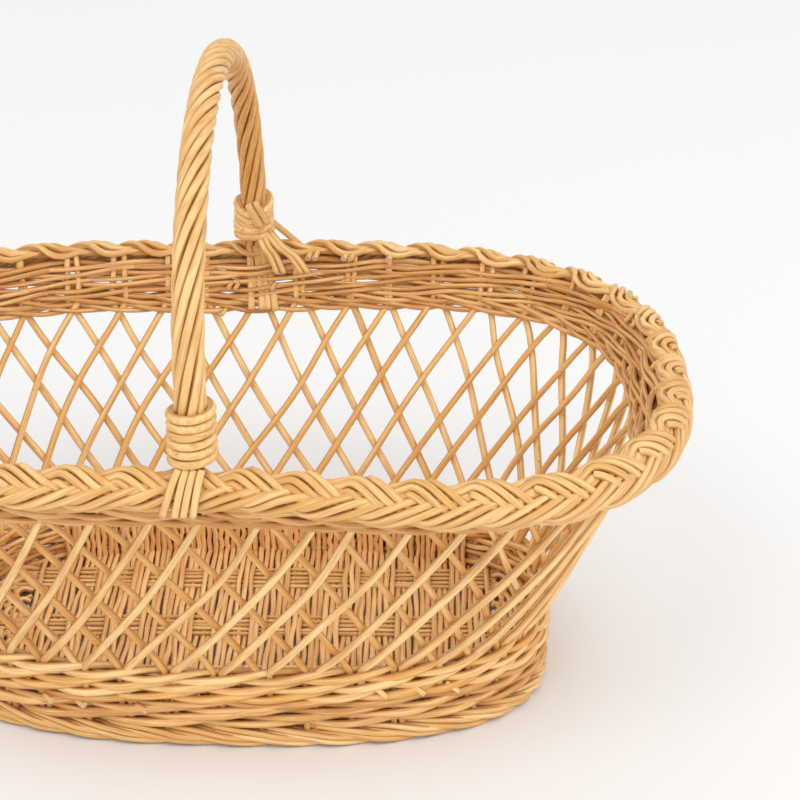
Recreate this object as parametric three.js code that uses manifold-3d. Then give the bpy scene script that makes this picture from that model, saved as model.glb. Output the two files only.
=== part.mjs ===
// Oval shopping basket of peeled willow with an open lattice side, a rolled border and a fixed hoop handle.
// Millimetres, +Z up, +X along the length. The origin is on the ground under the middle of the foot.
import * as THREE from 'three';
import Module from 'manifold-3d';
import { mergeVertices } from 'three/addons/utils/BufferGeometryUtils.js';

const wasm = await Module();
wasm.setup();

// Willow rods
const STAKE_COUNT = 44;
const STAKE_BUTT_RADIUS = 2.1;
const STAKE_TIP_RADIUS = 1.8;
const STAKE_SIDES = 5;
const BINDING_ROD_RADIUS = 1.8;
const TAIL_ROD_RADIUS = 1.8;
const CLEARANCE = 0.3;

// Plan of the side where it leaves the foot, measured on the middle of the stakes
const FOOT_HALF_LENGTH = 160.5;
const FOOT_HALF_WIDTH = 88.5;
const FOOT_END_POWER = 2.43;
const FOOT_SIDE_POWER = 2.9;
const FOOT_FULLER_END = 0.02;
const FOOT_MIDDLE_X = 1;
const FOOT_MIDDLE_Y = -4;

// Plan of the side where the lattice meets the upper band
const TOP_HALF_LENGTH = 208.5;
const TOP_HALF_WIDTH = 134;
const TOP_END_POWER = 3.15;
const TOP_SIDE_POWER = 2.55;
const TOP_WAIST = 0.087;
const WAIST_REACH = 0.58;
const TOP_FULLER_END = 0.07;

// Places of the stakes round the plan: closer at the ends, and moved on by a share of their spacing
const END_CROWDING = 0.27;
const STAKE_SHIFT = 0.37;
const FRONT_SHIFT = 0.25;

// Heights of the woven bands and of the lattice between them
const FOOT_BORDER_HEIGHT = 13;
const LOWER_SIDING_HEIGHT = 15;
const LOWER_WALE_HEIGHT = 16.4;
const LATTICE_HEIGHT = 105;
const UPPER_WALE_HEIGHT = 13;
const UPPER_SIDING_HEIGHT = 13;
const BAND_LEAN = 0.395;

// Thickness of the woven bands
const FOOT_BORDER_OUT = 5.5;
const FOOT_BORDER_IN = 9;
const SIDING_HALF_THICKNESS = 4.5;
const WALE_WALL = 2.6;
const STEM_SEAT_DEPTH = 13.4;
const TIP_SEAT_DEPTH = 5.2;

// Lattice
const STAKE_TRAVEL = 3;
const FOOT_SPREAD = 0.1;
const GATHER_DEPTH = 8.4;
const STEM_RISE = 1;
const ARM_SINK = 2;
const FORK_OUT = 0.6;

// Rolled border over the band: the reaches, insets and drops of its hooked section
const BORDER_RISE = 11.3;
const BORDER_REACH = 23.7;
const BORDER_DROP = 9.1;
const BORDER_THICKNESS = 6.4;
const BORDER_LIP_INSET = 1.7;
const BORDER_BULGE_LIFT = 4.1;
const BORDER_HOLLOW_DROP = 5.9;
const BORDER_BACK_INSET = 2;
const BORDER_SHOULDER = 8;
const BORDER_SHOULDER_DROP = 1.5;
const BORDER_CREST_INSET = 13.2;
const BORDER_INSIDE = 3.9;
const BORDER_INNER_BEVEL = 2.3;
const BORDER_INNER_RISE = 6.2;

// At the ends the border reaches further out, and at its +X end it rolls further down
const END_OVERHANG = 0.25;
const END_ROLL = 0.46;

// Humps of the plait round the border
const HUMP_COUNT = 42;
const HUMP_STEPS = 4;
const HUMP_RELIEF = 2.8;

// The rim sinks towards its +X end
const RIM_FALL = 6.7;
const RIM_FALL_START = 30;
const RIM_FALL_END = 160;

// Base
const BASE_THICKNESS = 6;
const BASE_BUNDLE_WIDTH = 22;
const BASE_BUNDLE_HEIGHT = 3.4;
const BASE_BUNDLE_SPACING = 50;
const CROSS_GROUP_WIDTH = 10.05;
const CROSS_GROUP_REACH = 13;
const CROSS_DIP_DEPTH = 3;

// Hoop handle
const HANDLE_RADIUS = 7.8;
const HANDLE_TOP = 336.5;
const HANDLE_SPRING = 218;
const HANDLE_OUT = 9.4;
const HANDLE_LEAN = -1.8;
const HANDLE_FRONT_STAKE = 31.83;
const HANDLE_BACK_STAKE = 11.03;
const LEG_RADIUS = 3.6;
const LEG_END = 149;
const LEG_SINK = 9.6;

// Bindings round the feet of the hoop and their loose ends
const FRONT_LIFT = 0.3;
const FRONT_TURNS = 6;
const FRONT_PITCH = 4.6;
const BACK_LIFT = 0.5;
const BACK_TURNS = 6;
const BACK_PITCH = 4.2;
const BACK_DIP = 3;
const TAIL_COUNT = 4;
const TAIL_SPACING = 2.9;
const FRONT_TAIL_SPREAD = 4.9;
const FRONT_TAIL_SWEEP = 6;
const BACK_TAIL_START = 11.4;
const BACK_TAIL_SPREAD = 4.5;
const BACK_PAIR_SPREAD = 14.6;
const BACK_TAIL_LENGTH = 16;

// Heights worked out from the bands
const lowerSidingBottom = FOOT_BORDER_HEIGHT + CLEARANCE;
const lowerSidingTop = lowerSidingBottom + LOWER_SIDING_HEIGHT;
const lowerWaleBottom = lowerSidingTop + CLEARANCE;
const latticeBottom = lowerWaleBottom + LOWER_WALE_HEIGHT;
const latticeTop = latticeBottom + LATTICE_HEIGHT;
const upperWaleTop = latticeTop + UPPER_WALE_HEIGHT;
const upperSidingBottom = upperWaleTop + CLEARANCE;
const upperSidingTop = upperSidingBottom + UPPER_SIDING_HEIGHT;
const borderBottom = upperSidingTop + CLEARANCE;
const borderTop = borderBottom + BORDER_RISE;
const latticeLean = (TOP_HALF_LENGTH - FOOT_HALF_LENGTH) / LATTICE_HEIGHT;
const layerOffset = (STAKE_BUTT_RADIUS + CLEARANCE / 2) * Math.hypot(1, latticeLean);
const stemBottom = latticeBottom - STEM_SEAT_DEPTH + CLEARANCE;
const stemTop = latticeBottom + STEM_RISE;
const footSeatHalf = STAKE_BUTT_RADIUS + FORK_OUT + 2 * CLEARANCE;
const lowerWaleHalf = footSeatHalf + WALE_WALL;
const tipSeatHalf = STAKE_TIP_RADIUS + 0.3 * layerOffset + 2 * CLEARANCE;
const upperBandHalf = tipSeatHalf + WALE_WALL;

// Materials
function willow(color, roughness) {
  return new THREE.MeshStandardMaterial({ color, roughness, metalness: 0 });
}
const paleWillow = willow(0xe9c78c, 0.5);
const honeyWillow = willow(0xdfb477, 0.52);
const buffWillow = willow(0xcf9f66, 0.58);
const baseWillow = willow(0xc99468, 0.65);

// Superellipse that is drawn in at the waist and fuller at its +X end
class Oval extends THREE.Curve {
  constructor(plan) {
    super();
    this.plan = plan;
    this.arcLengthDivisions = 1440;
  }

  getPoint(t, target = new THREE.Vector3()) {
    const plan = this.plan;
    const angle = 2 * Math.PI * t;
    const c = Math.cos(angle);
    const s = Math.sin(angle);
    const along = Math.sign(c) * Math.abs(c) ** (2 / plan.endPower);
    const across = Math.sign(s) * Math.abs(s) ** (2 / plan.sidePower);
    const drawnIn = 1 - plan.waist * Math.exp(-((along / WAIST_REACH) ** 2));
    const width = plan.halfWidth * drawnIn * (1 + plan.fullerEnd * along);
    return target.set(plan.middleX + plan.halfLength * along, plan.middleY + width * across, 0);
  }
}

// Corners of a many-sided ring at shares of the way round an oval, with the mitred way out at each
function ringCorners(oval, shares) {
  const points = shares.map((share) => oval.getPointAt(THREE.MathUtils.euclideanModulo(share, 1)));
  return points.map((point, i) => {
    const before = points[(i + points.length - 1) % points.length];
    const after = points[(i + 1) % points.length];
    const sideIn = new THREE.Vector3().subVectors(point, before).normalize();
    const sideOut = new THREE.Vector3().subVectors(after, point).normalize();
    const along = new THREE.Vector3().addVectors(sideIn, sideOut).normalize();
    const out = new THREE.Vector3(along.y, -along.x, 0);
    out.divideScalar(along.dot(sideIn));
    return { point, out };
  });
}

// Shares of the way round that lie half way between neighbouring stakes
function stakeShares(crowding) {
  const shares = [];
  for (let stake = 0.5; stake < STAKE_COUNT; stake += 1) {
    const moved = STAKE_SHIFT - FRONT_SHIFT * Math.sin((2 * Math.PI * stake) / STAKE_COUNT);
    const share = (stake + moved) / STAKE_COUNT;
    shares.push(share - (crowding * Math.sin(4 * Math.PI * share)) / (4 * Math.PI));
  }
  return shares;
}

const footOval = new Oval({
  halfLength: FOOT_HALF_LENGTH,
  halfWidth: FOOT_HALF_WIDTH,
  endPower: FOOT_END_POWER,
  sidePower: FOOT_SIDE_POWER,
  waist: 0,
  fullerEnd: FOOT_FULLER_END,
  middleX: FOOT_MIDDLE_X,
  middleY: FOOT_MIDDLE_Y,
});
const topOval = new Oval({
  halfLength: TOP_HALF_LENGTH,
  halfWidth: TOP_HALF_WIDTH,
  endPower: TOP_END_POWER,
  sidePower: TOP_SIDE_POWER,
  waist: TOP_WAIST,
  fullerEnd: TOP_FULLER_END,
  middleX: 0,
  middleY: 0,
});
const footCorners = ringCorners(footOval, stakeShares(END_CROWDING));
const topCorners = ringCorners(topOval, stakeShares(0));

// Share of the way to the +X end, where the rim is lower
function nearEnd(x) {
  return THREE.MathUtils.clamp((x - RIM_FALL_START) / (RIM_FALL_END - RIM_FALL_START), 0, 1);
}

// Height in the upper band or the border, which sinks towards the +X end
function fallen(z, x) {
  return z - (RIM_FALL * nearEnd(x) * Math.max(0, z - latticeTop)) / (borderTop - latticeTop);
}

// Place on a ring at a stake number, which may lie between two stakes, moved out by offset
function onRing(corners, stake, offset) {
  const before = Math.floor(stake - 0.5);
  const share = stake - 0.5 - before;
  const a = corners[(before + STAKE_COUNT) % STAKE_COUNT];
  const b = corners[(before + 1 + STAKE_COUNT) % STAKE_COUNT];
  const point = a.point.clone().lerp(b.point, share);
  const out = a.out.clone().lerp(b.out, share);
  return point.addScaledVector(out, offset);
}

// Place on the side at a stake number and a height: upright in the lower band, then leaning out
function onSide(stake, z, offset) {
  const rise = Math.max(0, (z - latticeBottom) / LATTICE_HEIGHT);
  const low = onRing(footCorners, stake, offset);
  const high = onRing(topCorners, stake, offset);
  return low.lerp(high, rise).setZ(z);
}

// Place in or beside the upper band, whose middle leans out with height
function onBand(stake, z, offset) {
  const place = onRing(topCorners, stake, BAND_LEAN * (z - latticeTop) + offset);
  return place.setZ(fallen(z, place.x));
}

function indexed(positions, faces) {
  const geometry = new THREE.BufferGeometry();
  geometry.setAttribute('position', new THREE.Float32BufferAttribute(positions, 3));
  geometry.setIndex(faces);
  return geometry;
}

// Closed ring: a section, listed anticlockwise as offset and height, carried round the corners of an oval.
// A form, where one is given, moves each point of the section at each corner
function ringGeometry(corners, section, form = (place) => place) {
  const positions = [];
  const faces = [];
  const sides = section.length;
  corners.forEach(({ point, out }, i) => {
    section.forEach((place, j) => {
      const [offset, z] = form(place, point, i, j);
      positions.push(point.x + out.x * offset, point.y + out.y * offset, fallen(z, point.x));
    });
    const next = (i + 1) % corners.length;
    for (let j = 0; j < sides; j += 1) {
      const k = (j + 1) % sides;
      faces.push(i * sides + j, next * sides + j, next * sides + k);
      faces.push(i * sides + j, next * sides + k, i * sides + k);
    }
  });
  return indexed(positions, faces);
}

// Closed rod along a list of points, with a radius at each point, flat at both ends
function rodGeometry(points, radii, sides) {
  const positions = [];
  const faces = [];
  const across = new THREE.Vector3(0.31, 0.57, 0.76);
  const last = points.length - 1;
  points.forEach((point, i) => {
    const along = new THREE.Vector3();
    if (i > 0) along.add(point.clone().sub(points[i - 1]).normalize());
    if (i < last) along.add(points[i + 1].clone().sub(point).normalize());
    along.normalize();
    across.addScaledVector(along, -across.dot(along)).normalize();
    const third = new THREE.Vector3().crossVectors(along, across);
    for (let j = 0; j < sides; j += 1) {
      const angle = (2 * Math.PI * j) / sides;
      const spoke = across.clone().multiplyScalar(Math.cos(angle)).addScaledVector(third, Math.sin(angle));
      positions.push(...point.clone().addScaledVector(spoke, radii[i]).toArray());
    }
  });
  for (let i = 0; i < last; i += 1) {
    for (let j = 0; j < sides; j += 1) {
      const k = (j + 1) % sides;
      faces.push(i * sides + j, i * sides + k, (i + 1) * sides + k);
      faces.push(i * sides + j, (i + 1) * sides + k, (i + 1) * sides + j);
    }
  }
  for (let j = 1; j < sides - 1; j += 1) {
    faces.push(0, j + 1, j);
    faces.push(last * sides, last * sides + j, last * sides + j + 1);
  }
  return indexed(positions, faces);
}

// Upright block with a flat outline, listed anticlockwise in the plane of X and Y
function blockGeometry(outline, bottom, height) {
  const shape = new THREE.Shape(outline.map((p) => new THREE.Vector2(p.x, p.y)));
  const geometry = new THREE.ExtrudeGeometry(shape, { depth: height, bevelEnabled: false });
  geometry.translate(0, 0, bottom);
  return geometry;
}

// Solids for joining and cutting
function toSolid(geometry) {
  const plain = geometry.clone();
  plain.deleteAttribute('normal');
  plain.deleteAttribute('uv');
  const merged = mergeVertices(plain, 1e-5);
  const vertProperties = new Float32Array(merged.attributes.position.array);
  const triVerts = new Uint32Array(merged.index.array);
  return new wasm.Manifold(new wasm.Mesh({ numProp: 3, vertProperties, triVerts }));
}

function fromSolid(solid) {
  const mesh = solid.getMesh();
  return indexed(Array.from(mesh.vertProperties), Array.from(mesh.triVerts));
}

function joined(geometries) {
  return fromSolid(geometries.map(toSolid).reduce((whole, piece) => whole.add(piece)));
}

const basket = new THREE.Group();

function addPiece(name, geometry, material) {
  const mesh = new THREE.Mesh(geometry, material);
  mesh.name = name;
  basket.add(mesh);
}

// Foot border: the rolled edge that the basket stands on, flat underneath
function addFootBorder() {
  const height = FOOT_BORDER_HEIGHT;
  const section = [
    [-FOOT_BORDER_IN + 1, 0],
    [FOOT_BORDER_OUT - 3, 0],
    [FOOT_BORDER_OUT, 0.35 * height],
    [FOOT_BORDER_OUT - 0.6, 0.75 * height],
    [FOOT_BORDER_OUT - 3, height],
    [-FOOT_BORDER_IN, height],
    [-FOOT_BORDER_IN, 0.3 * height],
  ];
  addPiece('foot_border', ringGeometry(footCorners, section), paleWillow);
}

// Lower siding: buff weaving between the foot border and the wale
function addLowerSiding() {
  const half = SIDING_HALF_THICKNESS;
  const section = [
    [-half, lowerSidingBottom],
    [half, lowerSidingBottom],
    [half, lowerSidingTop],
    [-half, lowerSidingTop],
  ];
  addPiece('lower_siding', ringGeometry(footCorners, section), buffWillow);
}

// Lower wale: pale triple weave with a seat all round for the stems of the stakes
function addLowerWale() {
  const half = lowerWaleHalf;
  const seat = footSeatHalf;
  const floor = latticeBottom - STEM_SEAT_DEPTH;
  const section = [
    [-half + 1.2, lowerWaleBottom],
    [half - 1.2, lowerWaleBottom],
    [half, lowerWaleBottom + 4],
    [half - 0.9, latticeBottom],
    [seat, latticeBottom],
    [seat, floor],
    [-seat, floor],
    [-seat, latticeBottom],
    [-half + 0.9, latticeBottom],
    [-half, lowerWaleBottom + 4],
  ];
  addPiece('lower_wale', ringGeometry(footCorners, section), paleWillow);
}

// Heights where the stakes cross: each has gone half a spacing further round than at the crossing below
const travelPerRise = (STAKE_TRAVEL - FOOT_SPREAD) / (1 + GATHER_DEPTH / LATTICE_HEIGHT);
function crossingHeight(crossing) {
  return latticeBottom + (LATTICE_HEIGHT * (crossing / 2 - FOOT_SPREAD)) / travelPerRise;
}

// One stake of the lattice, from its stem up to its tip in the upper band
function stakeArm(stake, turn) {
  const points = [onSide(stake + turn * FOOT_SPREAD, stemTop - ARM_SINK, turn * 0.5 * FORK_OUT)];
  for (const crossing of [1, 3, 5]) {
    points.push(onSide(stake + (turn * crossing) / 2, crossingHeight(crossing), turn * layerOffset));
  }
  const tip = latticeTop + TIP_SEAT_DEPTH;
  const tipTravel = FOOT_SPREAD + (travelPerRise * (tip - latticeBottom)) / LATTICE_HEIGHT;
  points.push(onBand(stake + turn * tipTravel, tip, 0));
  const radii = points.map((point, i) => {
    const share = i / (points.length - 1);
    return STAKE_BUTT_RADIUS + share * (STAKE_TIP_RADIUS - STAKE_BUTT_RADIUS);
  });
  return rodGeometry(points, radii, STAKE_SIDES);
}

// Stem where the two stakes of a pair stand side by side in the lower wale
function stakeStem(stake) {
  const wide = 2 * STAKE_BUTT_RADIUS + 0.2;
  const deep = STAKE_BUTT_RADIUS + 0.2;
  const outline = [
    [-deep, -wide + 1.4],
    [0, -wide],
    [deep, -wide + 1.4],
    [deep, wide - 1.4],
    [0, wide],
    [-deep, wide - 1.4],
  ].map(([x, y]) => new THREE.Vector2(x, y));
  const stem = blockGeometry(outline, 0, stemTop - stemBottom);
  const out = onRing(footCorners, stake, 1).sub(onRing(footCorners, stake, 0)).normalize();
  const up = new THREE.Vector3(0, 0, 1);
  const round = new THREE.Vector3().crossVectors(up, out);
  const place = new THREE.Matrix4().makeBasis(out, round, up);
  place.setPosition(onRing(footCorners, stake, 0).setZ(stemBottom));
  return stem.applyMatrix4(place);
}

// Pairs of stakes: from each stem one stake leans round outside and the other leans back inside
function addStakes() {
  for (let stake = 0; stake < STAKE_COUNT; stake += 1) {
    const geometry = joined([stakeStem(stake), stakeArm(stake, 1), stakeArm(stake, -1)]);
    addPiece(`stake_pair_${String(stake + 1).padStart(2, '0')}`, geometry, honeyWillow);
  }
}

// Sheared section of the upper band, so that it leans out as the stakes do
function leaning(section) {
  return section.map(([offset, z]) => [offset + BAND_LEAN * (z - latticeTop), z]);
}

// Upper wale: the first rows of the band, with a seat underneath for the tips of the stakes
function addUpperWale() {
  const half = upperBandHalf;
  const seat = tipSeatHalf;
  const roof = latticeTop + TIP_SEAT_DEPTH + STAKE_TIP_RADIUS + CLEARANCE;
  const section = leaning([
    [seat, latticeTop],
    [half, latticeTop],
    [half, upperWaleTop],
    [-half, upperWaleTop],
    [-half, latticeTop],
    [-seat, latticeTop],
    [-seat, roof],
    [seat, roof],
  ]);
  addPiece('upper_wale', ringGeometry(topCorners, section), buffWillow);
}

// Upper siding: weaving above the wale, under the border
function addUpperSiding() {
  const half = upperBandHalf;
  const section = leaning([
    [-half, upperSidingBottom],
    [half, upperSidingBottom],
    [half, upperSidingTop],
    [-half, upperSidingTop],
  ]);
  addPiece('upper_siding', ringGeometry(topCorners, section), buffWillow);
}

// Rim border: the plaited edge that sits on the band and rolls outwards over it
const bandTopMiddle = BAND_LEAN * (upperSidingTop - latticeTop);
const borderInside = bandTopMiddle - BORDER_INSIDE;
const borderLow = borderBottom - BORDER_DROP;
const borderCore = [BORDER_REACH - BORDER_SHOULDER, borderBottom];
const borderSection = [
  [borderInside, borderBottom],
  [BORDER_REACH - BORDER_THICKNESS, borderBottom],
  [BORDER_REACH - BORDER_THICKNESS, borderBottom - BORDER_HOLLOW_DROP],
  [BORDER_REACH - BORDER_LIP_INSET, borderLow],
  [BORDER_REACH, borderLow + BORDER_BULGE_LIFT],
  [BORDER_REACH - BORDER_BACK_INSET, borderBottom + 1],
  [BORDER_REACH - BORDER_SHOULDER, borderTop - BORDER_SHOULDER_DROP],
  [BORDER_REACH - BORDER_CREST_INSET, borderTop],
  [borderInside + BORDER_INNER_BEVEL, borderBottom + BORDER_INNER_RISE],
];

// Humps of the plait: those inside lie half a hump further round than those outside, from the edge in
const humpPhases = [null, null, null, null, 0.5, 0.5, 0.25, 0, 0];
function borderForm([offset, z], point, corner, side) {
  const wide = 1 + END_OVERHANG * (point.x / TOP_HALF_LENGTH) ** 2;
  const roll = 1 + END_ROLL * nearEnd(point.x);
  const place = [offset * wide, z < borderBottom ? borderBottom - (borderBottom - z) * roll : z];
  if (humpPhases[side] === null) return place;
  const hollow = (1 - Math.cos(2 * Math.PI * (corner / HUMP_STEPS + humpPhases[side]))) / 2;
  const inX = borderCore[0] * wide - place[0];
  const inZ = borderCore[1] - place[1];
  const step = (HUMP_RELIEF * hollow) / Math.hypot(inX, inZ);
  return [place[0] + inX * step, place[1] + inZ * step];
}

function addRimBorder() {
  const steps = HUMP_COUNT * HUMP_STEPS;
  const shares = Array.from({ length: steps }, (unused, i) => i / steps);
  addPiece('rim_border', ringGeometry(ringCorners(topOval, shares), borderSection, borderForm), paleWillow);
}

// Base: woven board with three bundles of sticks let into its underside, carried on the foot border.
// The cross rods pass over and under each bundle in groups, so the board dips at every second group
function addBase() {
  const inset = -(SIDING_HALF_THICKNESS + CLEARANCE);
  const outline = footCorners.map(({ point, out }) => point.clone().addScaledVector(out, inset));
  const bottom = FOOT_BORDER_HEIGHT + CLEARANCE;
  const board = toSolid(blockGeometry(outline, bottom, BASE_THICKNESS));
  const length = 2 * FOOT_HALF_LENGTH;
  const gap = 2 * CLEARANCE;
  let woven = board;
  for (let i = -1; i <= 1; i += 1) {
    const y = FOOT_MIDDLE_Y + i * BASE_BUNDLE_SPACING;
    const depth = 2 * BASE_BUNDLE_HEIGHT + gap;
    const wide = BASE_BUNDLE_WIDTH + gap;
    const channel = new THREE.BoxGeometry(length, wide, depth);
    channel.translate(0, y, bottom);
    woven = woven.subtract(toSolid(channel));
    for (let group = -CROSS_GROUP_REACH; group <= CROSS_GROUP_REACH; group += 1) {
      if ((group + i) % 2 === 0) continue;
      const dip = new THREE.BoxGeometry(CROSS_GROUP_WIDTH, wide, 2 * CROSS_DIP_DEPTH);
      dip.translate(group * CROSS_GROUP_WIDTH, y, bottom + BASE_THICKNESS);
      woven = woven.subtract(toSolid(dip));
    }
    const sticks = new THREE.BoxGeometry(length, BASE_BUNDLE_WIDTH, 2 * BASE_BUNDLE_HEIGHT);
    sticks.translate(0, y, bottom);
    addPiece(`base_bundle_${i + 2}`, fromSolid(board.intersect(toSolid(sticks))), paleWillow);
  }
  addPiece('base_weave', fromSolid(woven), baseWillow);
}

// Hoop handle: its two feet stand on the border and its thinner legs run down inside the band
const hoopFoot = borderTop + CLEARANCE;
function footAxis(stake) {
  const out = HANDLE_OUT - BAND_LEAN * (hoopFoot - latticeTop);
  return onBand(stake, hoopFoot, out);
}
const frontFoot = footAxis(HANDLE_FRONT_STAKE);
const backFoot = footAxis(HANDLE_BACK_STAKE);

function hoopPath(steps) {
  const middle = frontFoot.clone().add(backFoot).multiplyScalar(0.5);
  const half = backFoot.clone().sub(middle);
  const points = [frontFoot.clone()];
  for (let i = 0; i <= steps; i += 1) {
    const angle = (Math.PI * i) / steps;
    const point = middle.clone().addScaledVector(half, -Math.cos(angle));
    point.x += HANDLE_LEAN * Math.sin(angle);
    points.push(point.setZ(HANDLE_SPRING + (HANDLE_TOP - HANDLE_SPRING) * Math.sin(angle)));
  }
  points.push(backFoot.clone());
  return points;
}

function legPath(stake, foot) {
  const inside = -(upperBandHalf + CLEARANCE + LEG_RADIUS * Math.hypot(1, BAND_LEAN));
  const points = [LEG_END, borderBottom, borderTop].map((z) => onBand(stake, z, inside));
  points.push(foot.clone().setZ(hoopFoot + LEG_SINK));
  return points;
}

function addHandle() {
  const hoop = hoopPath(34);
  const pieces = [rodGeometry(hoop, hoop.map(() => HANDLE_RADIUS), 10)];
  for (const [stake, foot] of [[HANDLE_FRONT_STAKE, frontFoot], [HANDLE_BACK_STAKE, backFoot]]) {
    const leg = legPath(stake, foot);
    pieces.push(rodGeometry(leg, leg.map(() => LEG_RADIUS), 8));
  }
  addPiece('handle_hoop', joined(pieces), paleWillow);
}

// Winding: one rod that turns round a foot of the hoop, with straight ends; dip draws each turn down inside
const TURN_STEPS = 24;
function windingPath(foot, lift, turns, pitch, dip, inward) {
  const radius = HANDLE_RADIUS + CLEARANCE + BINDING_ROD_RADIUS;
  const low = hoopFoot + lift + BINDING_ROD_RADIUS + dip;
  const points = [];
  for (let i = 0; i <= turns * TURN_STEPS; i += 1) {
    const turn = i / TURN_STEPS;
    const angle = 2 * Math.PI * turn + Math.PI / 2;
    const sink = dip * ((1 + Math.cos(angle - inward)) / 2) ** 2;
    const reach = new THREE.Vector3(Math.cos(angle), Math.sin(angle), 0).multiplyScalar(radius);
    points.push(foot.clone().add(reach).setZ(low + pitch * turn - sink));
  }
  const run = 2 * BINDING_ROD_RADIUS;
  const first = points[0].clone().sub(points[1]).setLength(run).add(points[0]);
  const end = points[points.length - 1];
  const last = end.clone().sub(points[points.length - 2]).setLength(run).add(end);
  return [first, ...points, last];
}

// Least gap between places on the rod that are more than half a turn apart
function windingGap(points) {
  let least = Infinity;
  for (let i = 0; i < points.length; i += 1) {
    for (let j = i + TURN_STEPS / 2; j < points.length; j += 1) {
      least = Math.min(least, points[i].distanceTo(points[j]));
    }
  }
  return least - 2 * BINDING_ROD_RADIUS;
}

function addBinding(name, foot, lift, turns, pitch, dip, inward) {
  const path = windingPath(foot, lift, turns, pitch, dip, inward);
  console.log(`${name}: least gap to itself ${windingGap(path).toFixed(2)} mm`);
  addPiece(name, rodGeometry(path, path.map(() => BINDING_ROD_RADIUS), 6), paleWillow);
}

// Rod ends that leave a binding side by side and lie over the border
function tailGeometry(stake, places, starts, ends) {
  const spacing = onRing(topCorners, stake + 0.5, 0).distanceTo(onRing(topCorners, stake - 0.5, 0));
  const rods = starts.map((start, i) => {
    const points = places.map(([offset, z], j) => {
      const share = j / (places.length - 1);
      const shift = start + (ends[i] - start) * share;
      const place = onRing(topCorners, stake + shift / spacing, offset);
      return place.setZ(fallen(z, place.x));
    });
    return rodGeometry(points, points.map(() => TAIL_ROD_RADIUS), 6);
  });
  return joined(rods);
}

// Front tails: down over the outside of the border
function addFrontTails() {
  const away = TAIL_ROD_RADIUS + 2 * CLEARANCE;
  const places = [
    [HANDLE_OUT + HANDLE_RADIUS + away, borderTop - BORDER_SHOULDER_DROP + 0.4],
    [BORDER_REACH - BORDER_BACK_INSET + away, borderBottom + 1.5],
    [BORDER_REACH + away, borderLow + BORDER_BULGE_LIFT],
    [BORDER_REACH + away - 0.6, borderLow + TAIL_ROD_RADIUS],
  ];
  const starts = [];
  const ends = [];
  for (let i = 0; i < TAIL_COUNT; i += 1) {
    const place = i - (TAIL_COUNT - 1) / 2;
    starts.push(place * TAIL_SPACING);
    ends.push(place * FRONT_TAIL_SPREAD - FRONT_TAIL_SWEEP);
  }
  addPiece('front_tails', tailGeometry(HANDLE_FRONT_STAKE, places, starts, ends), paleWillow);
}

// Back tails: over the inside of the band, in two spread pairs; the stake numbers run towards -X there
function addBackTails() {
  const bandInside = (z) => BAND_LEAN * (z - latticeTop) - upperBandHalf;
  const away = TAIL_ROD_RADIUS + 2 * CLEARANCE;
  const high = borderTop + CLEARANCE;
  const low = high - BACK_TAIL_LENGTH;
  const places = [
    [HANDLE_OUT - HANDLE_RADIUS - away, high],
    [bandInside(upperSidingTop) - away, upperSidingTop + 1],
    [bandInside(low) - away, low],
  ];
  const starts = [];
  const ends = [];
  const nearest = LEG_RADIUS + TAIL_ROD_RADIUS + 2 * CLEARANCE;
  for (let i = 0; i < TAIL_COUNT; i += 1) {
    starts.push(-nearest - i * TAIL_SPACING);
    ends.push(-BACK_TAIL_START - (i % 2) * BACK_TAIL_SPREAD - Math.floor(i / 2) * BACK_PAIR_SPREAD);
  }
  addPiece('back_tails', tailGeometry(HANDLE_BACK_STAKE, places, starts, ends), paleWillow);
}

addFootBorder();
addBase();
addLowerSiding();
addLowerWale();
addStakes();
addUpperWale();
addUpperSiding();
addRimBorder();
addHandle();
addBinding('front_binding', frontFoot, FRONT_LIFT, FRONT_TURNS, FRONT_PITCH, 0, Math.PI / 2);
addBinding('back_binding', backFoot, BACK_LIFT, BACK_TURNS, BACK_PITCH, BACK_DIP, -Math.PI / 2);
addFrontTails();
addBackTails();

export default basket;
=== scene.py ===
"""Oval willow basket with an open lattice side, a plaited rolled border and a roped hoop handle.

Every rod is a tube swept along its own path. Lengths in this script are millimetres until make_piece
turns them into metres. A place on the side is a stake number, a height and an offset outwards: stakes are
numbered anticlockwise from the +X end, and the offset is measured from the middle of the stakes.
"""
import bpy
import numpy as np
from mathutils import Matrix, Vector


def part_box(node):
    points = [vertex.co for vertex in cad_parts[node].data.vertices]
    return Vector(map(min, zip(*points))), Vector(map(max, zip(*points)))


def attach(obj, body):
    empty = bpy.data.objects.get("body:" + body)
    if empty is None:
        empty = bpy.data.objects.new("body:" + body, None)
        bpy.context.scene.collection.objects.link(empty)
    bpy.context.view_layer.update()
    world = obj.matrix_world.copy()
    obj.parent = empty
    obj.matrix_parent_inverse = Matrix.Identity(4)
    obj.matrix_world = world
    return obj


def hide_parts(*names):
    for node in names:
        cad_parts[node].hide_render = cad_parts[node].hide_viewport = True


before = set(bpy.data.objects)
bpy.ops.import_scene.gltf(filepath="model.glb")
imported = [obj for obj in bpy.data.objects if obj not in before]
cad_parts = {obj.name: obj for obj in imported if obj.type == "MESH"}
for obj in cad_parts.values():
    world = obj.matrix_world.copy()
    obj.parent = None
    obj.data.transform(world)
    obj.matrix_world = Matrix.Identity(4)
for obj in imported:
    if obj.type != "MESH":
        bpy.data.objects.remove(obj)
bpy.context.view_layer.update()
chance = np.random.default_rng(11)

METRES = 0.001

# Plan of the side, as in the frame: middle of the stakes at the foot and where the lattice meets the band
STAKES = 44
FOOT_PLAN = dict(half_length=160.5, half_width=88.5, end_power=2.43, side_power=2.9, waist=0,
                 fuller_end=0.02, middle=(1, -4), crowding=0.27)
TOP_PLAN = dict(half_length=208.5, half_width=134, end_power=3.15, side_power=2.55, waist=0.087,
                fuller_end=0.07, middle=(0, 0), crowding=0)

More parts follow.
